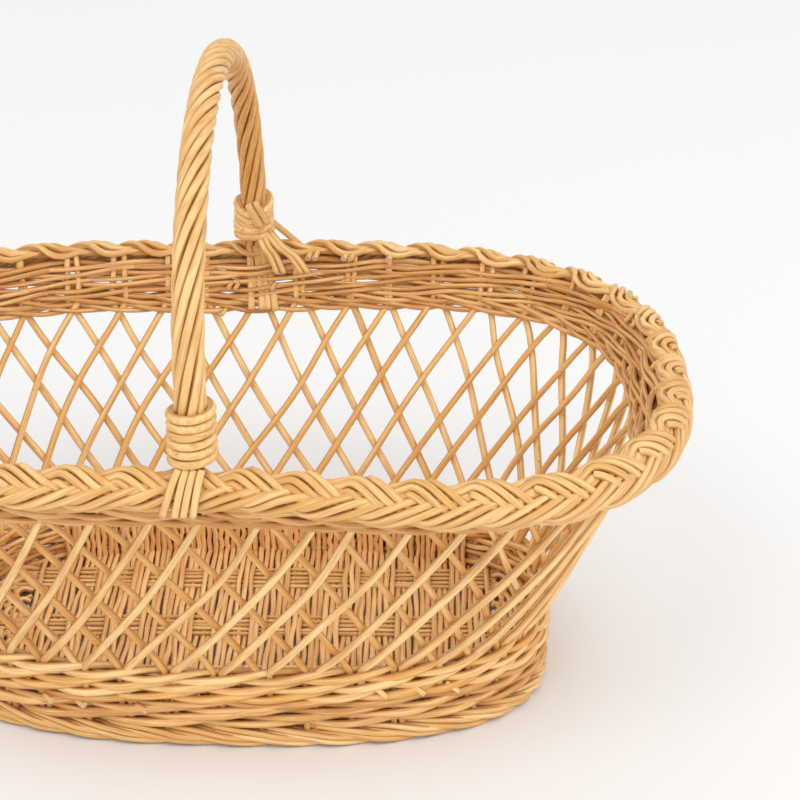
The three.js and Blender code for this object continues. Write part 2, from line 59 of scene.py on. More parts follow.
# Reach of the waist as a share of the half length, and how far the stakes are moved on, evenly and in front
WAIST_REACH = 0.58
STAKE_SHIFT = 0.37
FRONT_SHIFT = 0.25

# The rim sinks towards its +X end
RIM_FALL = 6.7
RIM_FALL_START = 30
RIM_FALL_END = 160


def span(node):
    """Lowest and highest corner of a node of the frame, in millimetres."""
    low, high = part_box(node)
    return np.array(low) / METRES, np.array(high) / METRES


# Heights from the frame; the legs of the handle end at LEG_END
SIDING_BOTTOM, SIDING_TOP = (corner[2] for corner in span("lower_siding"))
WALE_BOTTOM, LATTICE_BOTTOM = (corner[2] for corner in span("lower_wale"))
LATTICE_TOP = span("upper_wale")[0][2]
BAND_TOP = span("upper_siding")[1][2]
BORDER_TOP = span("rim_border")[1][2]
BORDER_TALL = span("foot_border")[1][2]
BASE_BOTTOM, BASE_TOP = (corner[2] for corner in span("base_weave"))
HANDLE_OVERALL = span("handle_hoop")[1][2]
LEG_END = span("handle_hoop")[0][2]
LATTICE_HEIGHT = LATTICE_TOP - LATTICE_BOTTOM

# Slope of the band above the lattice, outwards for each step up
BAND_LEAN = 0.395

# Stakes: radii at the foot and the tip, how far one leans round the basket and how far a pair stands apart
# at its foot in stake numbers, half the distance between the two layers, and the bow of the outer stakes
STAKE_BUTT = 2.2
STAKE_TIP = 1.8
STAKE_TRAVEL = 2.9
FOOT_SPREAD = 0.1
LAYER_OFFSET = 2.4
OUTER_BOW = 0.25

# Base: distance between the bundles of sticks along it, and the groups of rods across it
BUNDLE_SPACING = 50
CROSS_GROUP_WIDTH = 10.05
CROSS_PER_GROUP = 3
CROSS_MIDDLE = 7
CROSS_REACH = 128

# Plait of the border: humps round the rim, rods in each of its three strands, its swing, skew and lift, the
# place of its ridge from the stakes and under the top, and how much it grows and rolls at the ends
HUMPS = 42
PLAIT_RODS = 4
PLAIT_ROD = 2.05
PLAIT_SWING = 8.0
PLAIT_SKEW = 0.35
PLAIT_LIFT = 2.3
RIDGE_OFFSET = 11.5
RIDGE_DEPTH = 3.7
END_OVERHANG = 0.25
END_ROLL = 0.5

# Handle: rods and radii of the rope, the stake numbers of its feet, how far out they stand, the height at
# which the hoop starts to bend and its lean along the basket, and the radius of the bindings' rods
ROPE_RODS = 8
ROPE_ROD = 2.15
ROPE_RADIUS = 7.9
FRONT_STAKE = 31.83
BACK_STAKE = 11.03
HOOP_OUT = 9.4
HOOP_SPRING = 218
HOOP_LEAN = -1.8
BINDING_ROD = 2.3


def unit(vectors):
    """Vectors scaled to a length of one."""
    return vectors / np.linalg.norm(vectors, axis=-1, keepdims=True)


class Oval:
    """Plan curve: x = A sgn(c)|c|^(2/p), y = B sgn(s)|s|^(2/q) (1 - w exp(-(x/kA)^2)) (1 + f x/A)."""

    def __init__(self, half_length, half_width, end_power, side_power, waist, fuller_end, middle, crowding):
        """The curve is sampled closely once, with its way round and its outward direction."""
        angle = np.linspace(0, 2 * np.pi, 5761)
        c, s = np.cos(angle), np.sin(angle)
        along = np.sign(c) * np.abs(c) ** (2 / end_power)
        across = np.sign(s) * np.abs(s) ** (2 / side_power)
        drawn_in = 1 - waist * np.exp(-((along / WAIST_REACH) ** 2))
        x = middle[0] + half_length * along
        y = middle[1] + half_width * across * drawn_in * (1 + fuller_end * along)
        self.x, self.y = x, y
        self.way = np.append(0, np.cumsum(np.hypot(np.diff(x), np.diff(y))))
        self.out_x, self.out_y = np.gradient(y), -np.gradient(x)
        self.crowding = crowding

    def at(self, stake):
        """Places and outward directions at stake numbers, moved on and crowded as in the frame."""
        moved = stake + STAKE_SHIFT - FRONT_SHIFT * np.sin(2 * np.pi * stake / STAKES)
        share = np.mod(moved / STAKES, 1)
        return self.at_share(share - self.crowding * np.sin(4 * np.pi * share) / (4 * np.pi))

    def at_share(self, share):
        """Places and outward directions at shares of the whole way round."""
        way = np.mod(share, 1) * self.way[-1]
        spot = np.stack([np.interp(way, self.way, self.x), np.interp(way, self.way, self.y)], -1)
        out = np.stack([np.interp(way, self.way, self.out_x), np.interp(way, self.way, self.out_y)], -1)
        return spot, unit(out)


FOOT = Oval(**FOOT_PLAN)
TOP = Oval(**TOP_PLAN)


def near_end(x):
    """Share of the way to the +X end, where the rim is lower."""
    return np.clip((x - RIM_FALL_START) / (RIM_FALL_END - RIM_FALL_START), 0, 1)


def fallen(z, x):
    """Height lowered towards the +X end by a share of RIM_FALL that grows from the lattice to the border."""
    high = np.maximum(z - LATTICE_TOP, 0) / (BORDER_TOP - LATTICE_TOP)
    return z - RIM_FALL * near_end(x) * high


def placed(spot, z, out):
    """Points from a plan and heights, with level outward directions."""
    points = np.concatenate([spot, fallen(z, spot[..., 0])[..., None]], -1)
    return points, np.concatenate([out, np.zeros_like(out[..., :1])], -1)


def on_side(stake, z, offset):
    """Points and outward directions on the side: upright at the foot, then leaning out to the top."""
    stake, z, offset = np.broadcast_arrays(stake, z, offset)
    low, low_out = FOOT.at(stake)
    high, high_out = TOP.at(stake)
    rise = np.clip((z - LATTICE_BOTTOM) / LATTICE_HEIGHT, 0, 1)[..., None]
    out = unit(low_out + (high_out - low_out) * rise)
    shift = offset + BAND_LEAN * np.maximum(z - LATTICE_TOP, 0)
    return placed(low + (high - low) * rise + out * shift[..., None], z, out)


def on_rim(share, offset, z):
    """Points and outward directions beside the top plan at shares of the way round it."""
    share, offset, z = np.broadcast_arrays(share, offset, z)
    spot, out = TOP.at_share(share)
    return placed(spot + out * offset[..., None], z, out)


WANDER_FADE = 0.3


def wander(shape, waves, size):
    """Smooth chance movement of each rod: a sum of sines along it that dies away at both ends."""
    rods, steps = shape
    along = np.linspace(0, 1, steps)[None, None, :]
    wave = np.arange(1, waves + 1)[None, :, None]
    phase = chance.uniform(0, 2 * np.pi, (rods, waves, 1))
    height = chance.normal(0, 1, (rods, waves, 1)) / np.sqrt(waves)
    total = (height * np.sin(2 * np.pi * wave * along + phase)).sum(1)
    return size * total * np.sin(np.pi * along[0]) ** WANDER_FADE


def smooth(share):
    """Smooth step between 0 and 1: s^2 (3 - 2 s)."""
    return share * share * (3 - 2 * share)


class Rods:
    """Tubes gathered for one piece: a ring point is p + r (cos a n + sin a b), with n and b square to the
    path."""

    def __init__(self):
        self.spots, self.faces, self.uvs, self.shades, self.cuts = [], [], [], [], []
        self.count = 0

    def add(self, points, out, radius, shade=None, sides=8):
        """points (rods, steps, 3), out the rough way to n, radius and shade for each rod or point."""
        rods, steps = points.shape[:2]
        radius = np.broadcast_to(radius, (rods, steps))
        if shade is None:
            shade = chance.random((rods, 1))
        shade = np.broadcast_to(shade, (rods, steps))
        along = unit(np.gradient(points, axis=1))
        n = unit(out - (out * along).sum(-1, keepdims=True) * along)
        b = np.cross(along, n)
        angle = 2 * np.pi * np.arange(sides) / sides
        ring = np.cos(angle)[:, None] * n[:, :, None, :] + np.sin(angle)[:, None] * b[:, :, None, :]
        spots = points[:, :, None, :] + radius[..., None, None] * ring
        index = self.count + np.arange(rods * steps * sides).reshape(rods, steps, sides)
        turned = np.roll(index, -1, axis=2)
        walls = np.stack([index[:, :-1], turned[:, :-1], turned[:, 1:], index[:, 1:]], -1)
        self.faces.append(walls.reshape(-1, 4))
        reach = np.append(np.zeros((rods, 1)), np.cumsum(
            np.linalg.norm(np.diff(points, axis=1), axis=-1), axis=1), axis=1)
        reach = np.broadcast_to(reach[:, :, None], (rods, steps, sides))
        left = np.broadcast_to(np.arange(sides) / sides, (rods, steps, sides))
        right = left + 1 / sides
        uv = np.stack([
            np.stack([left[:, :-1], reach[:, :-1]], -1), np.stack([right[:, :-1], reach[:, :-1]], -1),
            np.stack([right[:, 1:], reach[:, 1:]], -1), np.stack([left[:, 1:], reach[:, 1:]], -1)], -2)
        self.uvs.append(uv.reshape(-1, 4, 2))
        self.cuts.append(np.zeros(uv.reshape(-1, 4, 2).shape[0], bool))
        self.close(index[:, 0, ::-1], angle[::-1])
        self.close(index[:, -1], angle)
        self.spots.append(spots.reshape(-1, 3))
        self.shades.append(np.broadcast_to(shade[:, :, None], (rods, steps, sides)).reshape(-1))
        self.count += rods * steps * sides

    def close(self, rim, angle):
        """Flat end: a fan of quads over one ring of corners."""
        disc = np.stack([np.cos(angle), np.sin(angle)], -1)
        for j in range(1, rim.shape[1] - 1, 2):
            corners = [0, j, j + 1, (j + 2) % rim.shape[1]]
            self.faces.append(rim[:, corners])
            self.uvs.append(np.broadcast_to(disc[corners], (len(rim), 4, 2)))
            self.cuts.append(np.ones(len(rim), bool))


def make_piece(name, rods, finish, nodes):
    """One mesh object in metres from gathered rods, riding on the basket and standing for its CAD nodes."""
    spots = np.concatenate(rods.spots) * METRES
    faces = np.concatenate(rods.faces)
    cuts = np.concatenate(rods.cuts)
    mesh = bpy.data.meshes.new(name)
    mesh.vertices.add(len(spots))
    mesh.vertices.foreach_set("co", spots.ravel())
    mesh.loops.add(faces.size)
    mesh.loops.foreach_set("vertex_index", faces.ravel().astype(np.int32))
    mesh.polygons.add(len(faces))
    mesh.polygons.foreach_set("loop_start", np.arange(0, faces.size, 4, dtype=np.int32))
    mesh.polygons.foreach_set("material_index", cuts.astype(np.int32))
    mesh.update(calc_edges=True)
    mesh.shade_smooth()
    mesh.polygons.foreach_set("use_smooth", ~cuts)
    layer = mesh.uv_layers.new(name="rod")
    layer.data.foreach_set("uv", np.concatenate(rods.uvs).ravel())
    shade = mesh.attributes.new("shade", "FLOAT", "POINT")
    shade.data.foreach_set("value", np.concatenate(rods.shades))
    mesh.materials.append(finish)
    mesh.materials.append(CUT_END)
    mesh.validate()
    piece = bpy.data.objects.new(name, mesh)
    bpy.context.scene.collection.objects.link(piece)
    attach(piece, "root")
    if nodes:
        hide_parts(*nodes)
    return piece


# Materials

def linear(red, green, blue):
    """Screen colour, 0 to 255, as the linear colour that a shader takes."""
    c = np.array([red, green, blue]) / 255
    return (*np.where(c <= 0.04045, c / 12.92, ((c + 0.055) / 1.055) ** 2.4), 1)


class Graph:
    """Small helper that adds and joins shader nodes."""

    def __init__(self, name):
        self.material = bpy.data.materials.new(name)
        self.material.use_nodes = True
        self.tree = self.material.node_tree
        self.shader = self.tree.nodes["Principled BSDF"]

    def node(self, kind, inputs=(), **settings):
        """New node with its settings, and a value or a link in each input."""
        made = self.tree.nodes.new(kind)
        for key, value in settings.items():
            setattr(made, key, value)
        for key, value in dict(inputs).items():
            self.put(value, made.inputs[key])
        return made

    def put(self, value, socket):
        """Link a socket, or set a constant on it."""
        if isinstance(value, bpy.types.NodeSocket):
            self.tree.links.new(value, socket)
        else:
            socket.default_value = value

    def math(self, operation, first, second=0.0):
        """Result of one operation on two values."""
        return self.node("ShaderNodeMath", {0: first, 1: second}, operation=operation).outputs[0]

    def mix(self, share, first, second):
        """Colour between two others."""
        return self.node("ShaderNodeMix", {0: share, 6: first, 7: second}, data_type="RGBA").outputs[2]

    def ramp(self, value, low, high):
        """Smooth step of a value from 0 at low to 1 at high."""
        made = self.node("ShaderNodeMapRange", {0: value, 1: low, 2: high}, interpolation_type="SMOOTHSTEP")
        return made.outputs[0]


# Stretch of the patterns along a rod, where they start for a shade of 1, and the colours laid over a finish
GRAIN_STRETCH, BLOTCH_STRETCH, SCAR_STRETCH = 0.02, 0.03, 0.42
SHADE_TO_START = 917.0
PALE_STREAK = (252, 226, 172)
# Colour of the painted shade laid on the flanks of every rod, where neighbouring rods meet
PAINTED_FLANK_SHADE = (156, 94, 44)
LEAF_SCAR = (120, 74, 40)
RARE_SCAR = 0.72


def willow(name, pale, deep, stain, roughness):
    """Peeled willow: a shade for each rod, fine grain and pale streaks along it, painted shade on the flanks
    where the rods meet, soft blotches and small dark leaf scars. The pattern is laid round and along the
    rod, and starts elsewhere on each."""
    g = Graph(name)
    shade = g.node("ShaderNodeAttribute", attribute_name="shade").outputs["Fac"]
    uv = g.node("ShaderNodeUVMap", uv_map="rod").outputs[0]
    parts = g.node("ShaderNodeSeparateXYZ", {0: uv})
    round_it = g.math("MULTIPLY", parts.outputs[0], 2 * np.pi)
    start = g.math("MULTIPLY", shade, SHADE_TO_START)
    along = g.math("ADD", parts.outputs[1], start)
    cosine, sine = g.math("COSINE", round_it), g.math("SINE", round_it)

    def field(stretch):
        slow = g.math("MULTIPLY", along, stretch)
        return g.node("ShaderNodeCombineXYZ", {0: cosine, 1: sine, 2: slow}).outputs[0]

    def tint(colour, share, strength, target):
        return g.mix(g.math("MULTIPLY", share, strength), colour, linear(*target))

    grain = g.node("ShaderNodeTexNoise",
                   {"Vector": field(GRAIN_STRETCH), "Scale": 3.4, "Detail": 3.0}).outputs[0]
    blotch = g.node("ShaderNodeTexNoise",
                    {"Vector": field(BLOTCH_STRETCH), "Scale": 0.9, "Detail": 2.0}).outputs[0]
    scars = g.node("ShaderNodeTexVoronoi",
                   {"Vector": field(SCAR_STRETCH), "Scale": 0.55, "Randomness": 1.0})
    colour = g.mix(g.ramp(shade, 0.0, 1.0), linear(*pale), linear(*deep))
    colour = tint(colour, g.ramp(blotch, 0.42, 0.72), 0.6, stain)
    colour = tint(colour, g.ramp(grain, 0.5, 0.72), 0.6, stain)
    colour = tint(colour, g.ramp(grain, 0.46, 0.3), 0.45, PALE_STREAK)
    # Painted shade: each rod is darkened on its flanks, away from its outer face, where it meets its
    # neighbours
    colour = tint(colour, g.ramp(g.math("ABSOLUTE", cosine), 0.66, 0.05), 0.6, PAINTED_FLANK_SHADE)
    pick = g.node("ShaderNodeSeparateColor", {0: scars.outputs["Color"]}).outputs[0]
    rare = g.math("GREATER_THAN", pick, RARE_SCAR)
    spot = g.math("MULTIPLY", rare, g.ramp(scars.outputs["Distance"], 0.16, 0.05))
    colour = tint(colour, spot, 0.75, LEAF_SCAR)
    g.put(colour, g.shader.inputs["Base Color"])
    g.put(g.math("ADD", g.math("MULTIPLY", grain, 0.2), roughness - 0.1), g.shader.inputs["Roughness"])
    relief = g.math("SUBTRACT", grain, g.math("MULTIPLY", spot, 0.6))
    bump = g.node("ShaderNodeBump", {"Strength": 0.25, "Distance": 0.0004, "Height": relief})
    g.put(bump.outputs[0], g.shader.inputs["Normal"])
    g.shader.inputs["Specular IOR Level"].default_value = 0.35
    return g.material


def cut_end():
    """Sawn or clipped rod end: paler wood with rings round a darker pith."""
    g = Graph("cut_willow_end")
    uv = g.node("ShaderNodeUVMap", uv_map="rod").outputs[0]
    reach = g.node("ShaderNodeVectorMath", {0: uv}, operation="LENGTH").outputs["Value"]
    rings = g.math("SINE", g.math("MULTIPLY", reach, 24.0))
    pith = g.ramp(reach, 0.3, 0.12)
    wood = g.mix(g.ramp(rings, -1.0, 1.0), linear(236, 205, 158), linear(222, 184, 132))
    g.put(g.mix(pith, wood, linear(176, 128, 84)), g.shader.inputs["Base Color"])
    g.shader.inputs["Roughness"].default_value = 0.75
    return g.material


# Each finish has a pale, a deep and a stain colour, and a roughness
CUT_END = cut_end()
PALE = willow("pale_willow_rods", (242, 202, 138), (224, 172, 100), (200, 140, 70), 0.42)
STAKE = willow("stake_willow_rods", (250, 214, 150), (232, 176, 100), (206, 144, 72), 0.42)
BUFF = willow("buff_willow_rods", (238, 188, 122), (214, 157, 90), (180, 118, 60), 0.48)
BASE = willow("base_willow_rods", (252, 206, 142), (234, 182, 116), (196, 136, 78), 0.52)


# Woven rows

LAP_START = -STAKES / 2
LAP_STEPS = 8


def lap(rods):
    """Stake numbers once round the basket from its -X end, for each of several rods. The last step runs into
    the start of the rod, so no joint shows."""
    steps = STAKES * LAP_STEPS + 2
    return np.broadcast_to(LAP_START + np.arange(steps) / LAP_STEPS, (rods, steps))


def stroke_values(turns, low, high, per_value=1):
    """A chance value for each stroke of each rod, which changes where the rod passes through the wall. The
    last stroke takes the first one's value, so the two ends of a lap match."""
    number = np.floor(turns / per_value).astype(int)
    number -= number.min()
    table = chance.uniform(low, high, (len(turns), number.max() + 1))
    np.put_along_axis(table, number[:, -1:], np.take_along_axis(table, number[:, :1], axis=1), axis=1)
    return np.take_along_axis(table, number, axis=1)


# Woven row: waves and sizes of its wander, where in a turn a stroke starts, and how it thins inside
ROW_WAVES = 40
ROW_WANDER_OUT = 0.4
ROW_WANDER_UP = 0.35
STROKE_START = 0.25
ROW_THICKEST = 1.04
ROW_THINNING = 0.32
ROW_THIN_LAG = 0.4


def twisted_row(rods, z, strands, period, reach, swing, hand, radius, stacked=1, gap=0.0, dent=None,
                start=0.0):
    """Rods twisted round the uprights: offset = reach cos a, height = z + hand swing sin a,
    a = 2 pi (stake - start) / period. A strand may hold several rods stacked gap apart. A rod is thickest on
    the outside and thins towards the inside."""
    begin = start + np.repeat(np.arange(strands) * period / strands, stacked)[:, None]
    level = np.tile((np.arange(stacked) - (stacked - 1) / 2) * gap, strands)[:, None]
    stake = lap(strands * stacked)
    turns = (stake - begin) / period
    angle = 2 * np.pi * turns
    offset = reach * np.cos(angle) + wander(stake.shape, ROW_WAVES, ROW_WANDER_OUT)
    height = z + level + hand * swing * np.sin(angle) + wander(stake.shape, ROW_WAVES, ROW_WANDER_UP)
    if dent is not None:
        offset = offset - dent(stake) * (1 - np.cos(angle)) / 2
    points, out = on_side(stake, height, offset)
    thick = radius * stroke_values(turns - STROKE_START, 0.86, 1.1)
    taper = ROW_THICKEST - ROW_THINNING * (1 - np.cos(angle - ROW_THIN_LAG)) / 2
    rods.add(points, out, thick * taper, stroke_values(turns - STROKE_START, 0, 1, 2), sides=7)


def butt(rods, start, end, radius):
    """Cut end of a weaving rod that sticks out: a straight run between two places on the side."""
    share = np.linspace(0, 1, 4)[None]
    places = [first + (last - first) * share for first, last in zip(start, end)]
    points, out = on_side(*places)
    rods.add(points, out, radius, chance.uniform(0, 0.4, (1, 1)))


# Foot border: turns and strands, its rods, its section, and the two rods of a strand
FOOT_BORDER_TURNS = 8
FOOT_BORDER_STRANDS = 5
FOOT_BORDER_ROD = 1.75
FOOT_BORDER_MIDDLE = -2.0
FOOT_BORDER_REACH = 5.5
FOOT_BORDER_INSET = 3.3
FOOT_BORDER_LOWEST = 1.95
PAIR_LEVEL = 1.35
PAIR_LAG = 0.12


def power(values, exponent):
    """Power of the size of each value, with its sign kept."""
    return np.sign(values) * np.abs(values) ** exponent


def foot_border():
    """Rolled edge under the siding: flat pairs of rods that slant down to the right on the outside. The
    section is a superellipse: offset = middle + reach cos^0.7 a, height = half - swing sin^0.8 a."""
    rods = Rods()
    half = BORDER_TALL / 2
    swing = half - FOOT_BORDER_INSET
    period = STAKES / FOOT_BORDER_TURNS
    for strand in range(FOOT_BORDER_STRANDS):
        for number, level in enumerate((-PAIR_LEVEL, PAIR_LEVEL)):
            stake = lap(1)
            turns = (stake - strand * period / FOOT_BORDER_STRANDS - PAIR_LAG * number) / period
            angle = 2 * np.pi * turns
            offset = FOOT_BORDER_MIDDLE + FOOT_BORDER_REACH * power(np.cos(angle), 0.7)
            offset = offset + wander(stake.shape, 30, 0.35)
            height = half - swing * power(np.sin(angle), 0.8) + level + wander(stake.shape, 30, 0.2)
            points, out = on_side(stake, np.maximum(height, FOOT_BORDER_LOWEST), offset)
            thick = FOOT_BORDER_ROD * stroke_values(turns - STROKE_START, 0.9, 1.04)
            thick = thick * (1 - 0.2 * (1 - np.cos(angle - 0.9)) / 2)
            rods.add(points, out, thick, stroke_values(turns - STROKE_START, 0.1, 1))
    make_piece("foot_border_rods", rods, PALE, ["foot_border"])


# Short uprights in pairs, half their distance in stake numbers, and the stake numbers of the cut ends
UPRIGHT_APART = 0.1
UPRIGHT_ROD = 1.9
SIDING_BUTTS = (28.3, 29.1, 30.5)


def lower_siding():
    """Buff rows between the foot border and the wale, on pairs of short uprights, with a few cut ends."""
    rods = Rods()
    rows = 4
    step = (SIDING_TOP - SIDING_BOTTOM) / rows
    for row in range(rows):
        twisted_row(rods, SIDING_BOTTOM + (row + 0.5) * step, strands=2, period=STAKES / 10, reach=3.1,
                    swing=1.5, hand=1, radius=2.3, start=0.9 * row)
    stake = np.repeat(np.arange(STAKES), 2) + np.tile([-UPRIGHT_APART, UPRIGHT_APART], STAKES)
    z = np.linspace(4, WALE_BOTTOM + 4, 6)
    points, out = on_side(stake[:, None], z[None], -0.6)
    rods.add(points, out, UPRIGHT_ROD)
    for stake in SIDING_BUTTS:
        butt(rods, (stake - 0.25, 24, 2), (stake, 23.2, 5.6), 1.9)
    make_piece("lower_siding_rods", rods, BUFF, ["lower_siding"])


WALE_BUTTS = ((35.4, 31.5), (36.3, 30.5), (37.2, 28.5))


def lower_wale():
    """Three pale rows of three-rod wale that hold the feet of the lattice, and three cut ends under it, each
    given by its stake number and lowest height."""
    rods = Rods()
    rows = 3
    step = (LATTICE_BOTTOM - WALE_BOTTOM) / rows
    for row in range(rows):
        twisted_row(rods, WALE_BOTTOM + (row + 0.5) * step, strands=3, period=STAKES / 11, reach=4.4,
                    swing=2.1, hand=1, radius=2.25, start=0.7 * row)
    for stake, low in WALE_BUTTS:
        butt(rods, (stake, low + 4.5, 3), (stake + 0.3, low, 7), 1.6)
    make_piece("lower_wale_rods", rods, STAKE, ["lower_wale"])


UPPER_WALE_START = 2.4
UPPER_WALE_COURSE = 4.0


def upper_wale():
    """Two rows of wale that close the top of the lattice."""
    rods = Rods()
    for row in range(2):
        twisted_row(rods, LATTICE_TOP + UPPER_WALE_START + UPPER_WALE_COURSE * row, strands=3,
                    period=STAKES / 16, reach=3.5, swing=1.8, hand=-1, radius=1.9, start=0.5 * row)
    make_piece("upper_wale_rods", rods, BUFF, ["upper_wale"])


# Size of the bulge over a leg of the handle, and its reach in stake numbers
LEG_DENT = 1.2
LEG_DENT_REACH = 0.45


def leg_dent(stake):
    """How far the inner strokes bulge over the legs of the handle: dent exp(-(gap / reach)^2)."""
    away = [np.mod(stake, STAKES) - leg for leg in (FRONT_STAKE, BACK_STAKE)]
    return sum(LEG_DENT * np.exp(-((gap / LEG_DENT_REACH) ** 2)) for gap in away)


# First course and step of the upper siding above the lattice, and its cut ends
SIDING_START = 11.2
SIDING_COURSE = 6.0
BAND_BUTTS = ((11.55, 166.5), (11.4, 166), (10.6, 165.5), (11.7, 152))


def upper_siding():
    """Buff courses of doubled rods above the wale, with gaps of light between them, and a few cut ends
    inside, each given by its stake number and height."""
    rods = Rods()
    for row in range(3):
        twisted_row(rods, LATTICE_TOP + SIDING_START + SIDING_COURSE * row, strands=2, period=STAKES / 12,
                    reach=3.3, swing=1.5, hand=1, radius=1.85, stacked=2, gap=3.2, dent=leg_dent,
                    start=0.9 * row)
    for stake, z in BAND_BUTTS:
        butt(rods, (stake, z, -3), (stake + 0.08, z - 1.5, -7.5), 1.3)
    make_piece("upper_siding_rods", rods, BUFF, ["upper_siding"])


# Stakes: height above the lattice where a pair comes together, how far its stem starts under the wale, and
# its tips under the top of the border, narrowing of the stem's point, thickness of the outer and inner one,
# their offset while together, where in the rise they part and close, and how far tips go out at the ends
STAKE_MEET = 5
STEM_SUNK = 1.5
TIP_UNDER_BORDER = 6
STEM_POINT = 0.35
STOUT = (1.06, 0.95)
CLOSE_OFFSET = 0.4
PART_OVER = 0.1
CLOSE_AT, CLOSE_OVER = 1.04, 0.12
TIP_FOLLOWS = 4


def stakes():
    """Lattice: from each stem one stake leans right outside and one leans left inside, then both stand
    upright in pairs through the band. Outer stakes are bowed by OUTER_BOW sin(pi rise), the two layers part
    above the wale and close under the band, and at the ends of the basket the tips follow the border out."""
    highest = 1 + STAKE_MEET / LATTICE_HEIGHT
    lean = STAKE_TRAVEL / highest
    z = np.concatenate([
        np.linspace(WALE_BOTTOM - STEM_SUNK, LATTICE_BOTTOM, 6)[:-1],
        np.linspace(LATTICE_BOTTOM, LATTICE_TOP + STAKE_MEET, 26)[:-1],
        np.linspace(LATTICE_TOP + STAKE_MEET, BORDER_TOP - TIP_UNDER_BORDER, 9)])
    rise = np.clip((z - LATTICE_BOTTOM) / LATTICE_HEIGHT, 0, highest)
    apart = smooth(np.clip(rise / PART_OVER, 0, 1) * np.clip((CLOSE_AT - rise) / CLOSE_OVER, 0, 1))
    radius = STAKE_BUTT + (STAKE_TIP - STAKE_BUTT) * (z - z[0]) / (z[-1] - z[0])
    radius[0] *= STEM_POINT
    turn = np.array([[1.0], [-1.0]])
    stout = np.array(STOUT)[:, None]
    bow = np.array([[OUTER_BOW], [0.0]]) * np.sin(np.pi * np.minimum(rise, 1))
    tip = np.clip((z - BAND_TOP + TIP_FOLLOWS) / (BORDER_TOP - BAND_TOP), 0, 1)
    for number in range(STAKES):
        rods = Rods()
        stake = number + turn * (FOOT_SPREAD + lean * rise) + bow + chance.normal(0, 0.09, (2, 1)) * rise
        offset = turn * (CLOSE_OFFSET + (LAYER_OFFSET - CLOSE_OFFSET) * apart) + wander(stake.shape, 3, 0.35)
        end = (TOP.at(np.array(float(number)))[0][0] / TOP_PLAN["half_length"]) ** 2
        offset = offset + TIP_FOLLOWS * end * tip
        points, out = on_side(stake + wander(stake.shape, 2, 0.05), z, offset)
        shade = np.array([[chance.uniform(0, 0.6)], [chance.uniform(0.45, 1)]])
        rods.add(points, out, radius * stout * chance.uniform(0.94, 1.06, (2, 1)), shade)
        label = f"stake_pair_{number + 1:02d}"
        make_piece(label + "_rods", rods, STAKE, [label])


# Plait pieces

# Width and height of the quarter ellipses of the plait's section, and how far round them it runs
OUTER_QUARTER = (9.0, 8.8)
INNER_QUARTER = (2.6, 5.5)
SECTION_FROM, SECTION_TO = -0.5, 0.84
WIDE_SHARE = 0.35


def plait_section(across, share):
    """Middle of the plait over its rolled section, by distance from the ridge: an outer and an inner
    quarter of an ellipse that meet level at the ridge. The outer one grows at the ends of the basket.
    Returns offset, height and the two parts of the way out of it."""
    psi = np.linspace(SECTION_FROM * np.pi, SECTION_TO * np.pi, 300)
    wide_of, tall_of = (np.where(psi > 0, *pair) for pair in zip(OUTER_QUARTER, INNER_QUARTER))
    offset = wide_of * np.sin(psi)
    z = tall_of * (np.cos(psi) - 1)
    way = np.append(0, np.cumsum(np.hypot(np.diff(offset), np.diff(z))))
    way -= np.interp(0, psi, way)
    normal = unit(np.stack([-np.gradient(z), np.gradient(offset)], -1))
    x = TOP.at_share(share)[0][..., 0]
    wide = 1 + END_OVERHANG * (x / TOP_PLAN["half_length"]) ** 2
    tall = np.where(across > 0, 1 + END_ROLL * near_end(x), 1)
    stretch = np.where(across > 0, WIDE_SHARE * wide + (1 - WIDE_SHARE) * tall, 1)
    found = [np.interp(across / stretch, way, values) for values in (offset, z, normal[:, 0], normal[:, 1])]
    place = (RIDGE_OFFSET + found[0]) * wide
    return place, BORDER_TOP - RIDGE_DEPTH + found[1] * tall, found[2], found[3]


# Sharpness of the zigzag's corners: 1 is a sharp one
ZIGZAG_CORNER = 0.93


def zigzag(p):
    """Wave between -1 and 1 with straight flanks and rounded corners: asin(k cos p) / asin(k)."""
    return np.arcsin(ZIGZAG_CORNER * np.cos(p)) / np.arcsin(ZIGZAG_CORNER)


def steepness(p):
    """Slope of the zigzag against p, without its sign."""
    flank = ZIGZAG_CORNER * np.sin(p) / np.sqrt(1 - (ZIGZAG_CORNER * np.cos(p)) ** 2)
    return flank / np.arcsin(ZIGZAG_CORNER)


# Edges of the plait across its section, its growth at the ends, its way round against the top plan's, how
# close its rods lie, the rounding of a strand's top, steps for each hump, and stake numbers of cut ends
PLAIT_INNER = -3.9
PLAIT_OUTER = 23.6
GROWTH_AT_ENDS = 0.22
GROWTH_AT_LOW_END = 0.3
PLAIT_GIRTH = 1.06
ROD_PACKING = 0.92
CROWN = 0.02
PLAIT_STEPS = 12
BORDER_BUTTS = (9.75, 9.6, 8.95, 8.8, 7.95)


